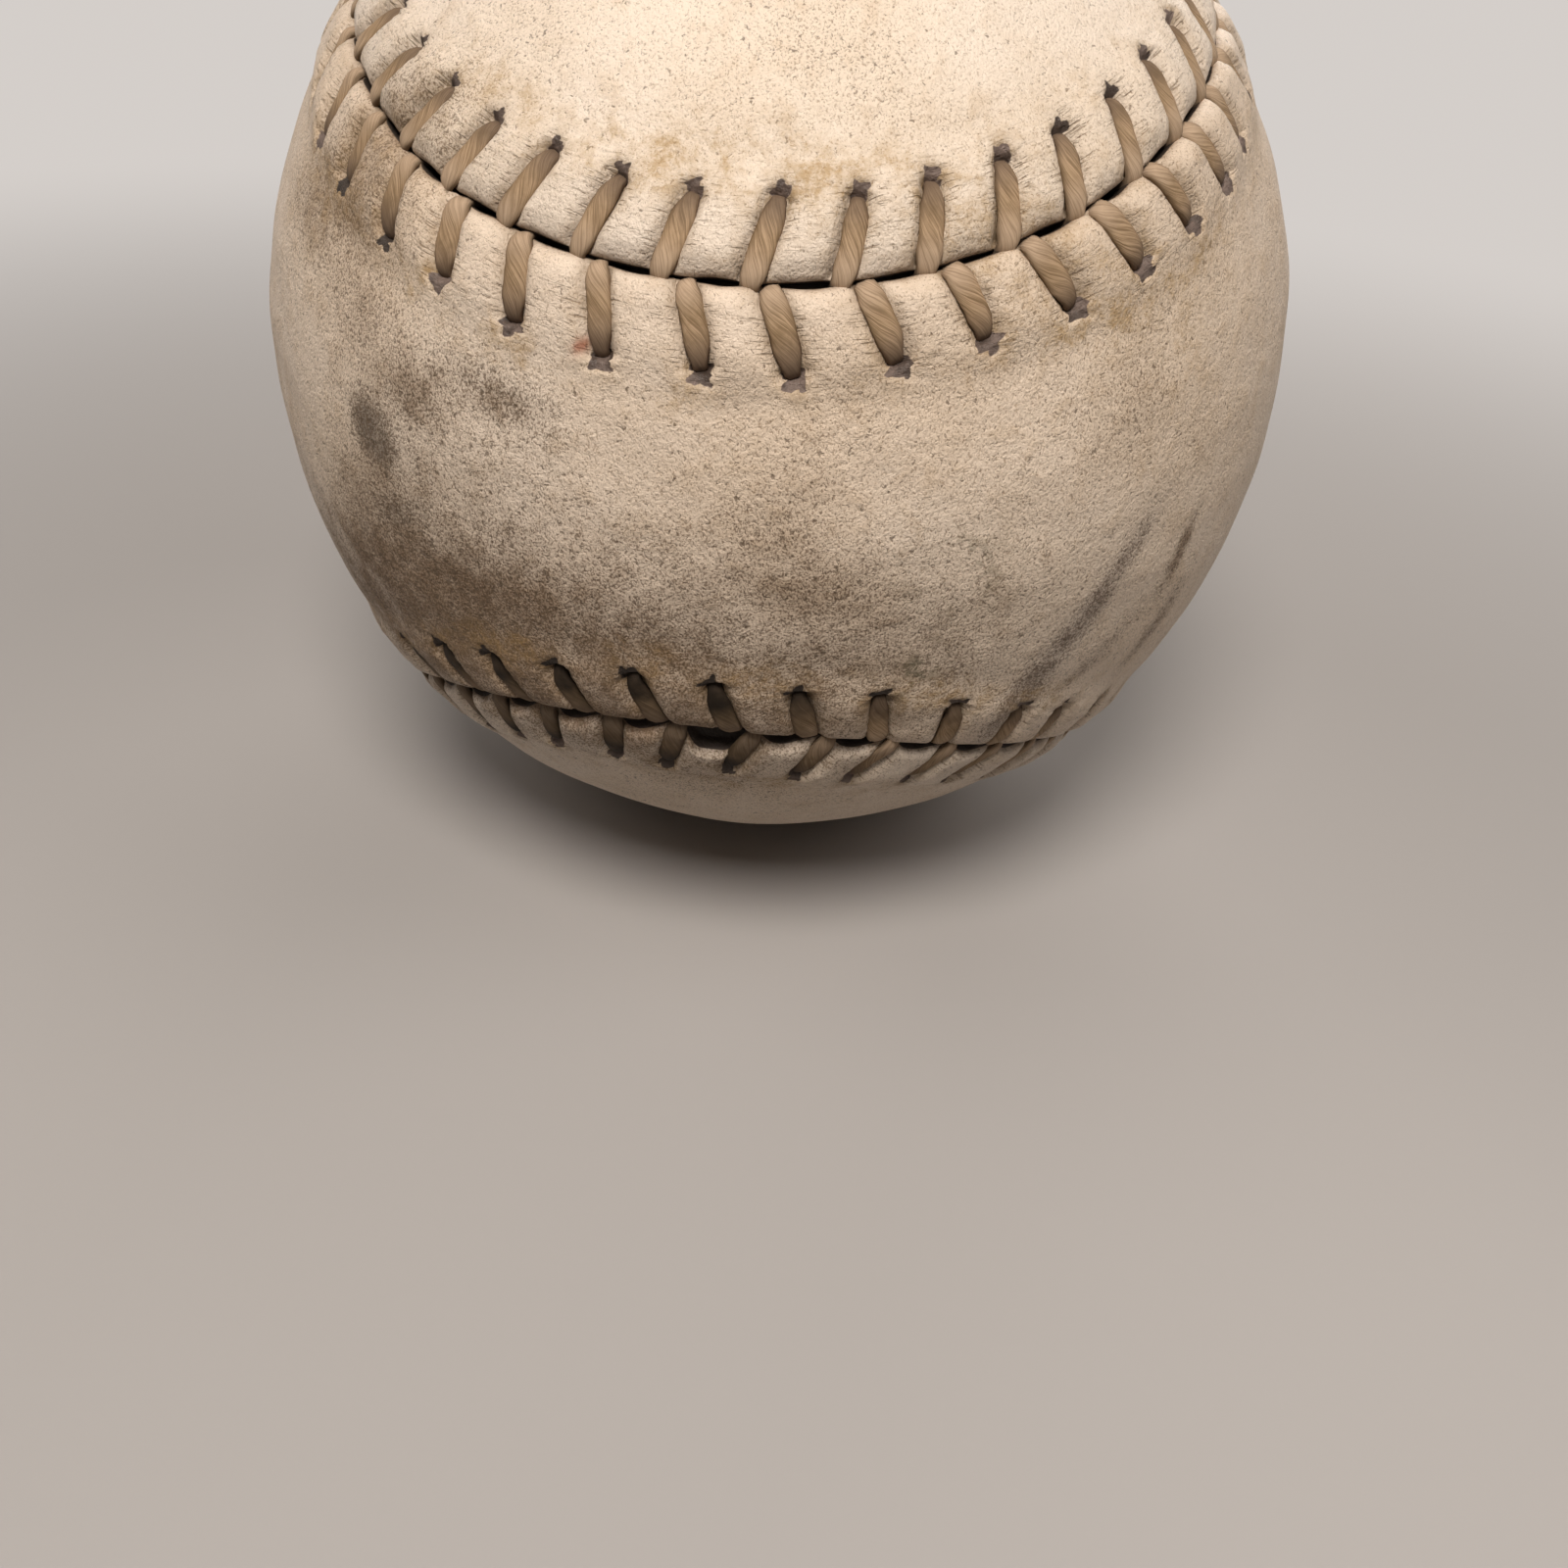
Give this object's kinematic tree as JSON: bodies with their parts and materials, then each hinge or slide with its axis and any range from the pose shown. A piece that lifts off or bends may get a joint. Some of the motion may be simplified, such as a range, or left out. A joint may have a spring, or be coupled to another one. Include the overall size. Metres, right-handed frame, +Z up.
{
  "type": "softball",
  "caption": "Round leather ball of two figure-eight panels sewn edge to edge with cross stitches over a cord-wound cork centre, for throwing, catching and batting.",
  "frame": {"origin": "middle of the ball", "axes": "-Y looks at the middle of the front panel, +Y at the middle of the back panel; the front panel's lobes lie along X and the back panel's along Z; +Z is up"},
  "size_m": [0.097, 0.097, 0.097],
  "materials": {
    "cork": "pressed ground cork, matte",
    "winding": "wound cotton cord, matte",
    "latex": "cord turns set in amber latex, satin",
    "leather": "aged off-white grain leather, soiled, satin",
    "thread": "waxed tan cotton, soiled, matte"
  },
  "bodies": {
    "root": {"cork_core": "cork", "cord_winding": "winding", "latex_bonded_layer": "latex", "cover_panel_front": "leather", "cover_panel_back": "leather", "seam_thread_a": "thread", "seam_thread_b": "thread"}
  },
  "joints": []
}
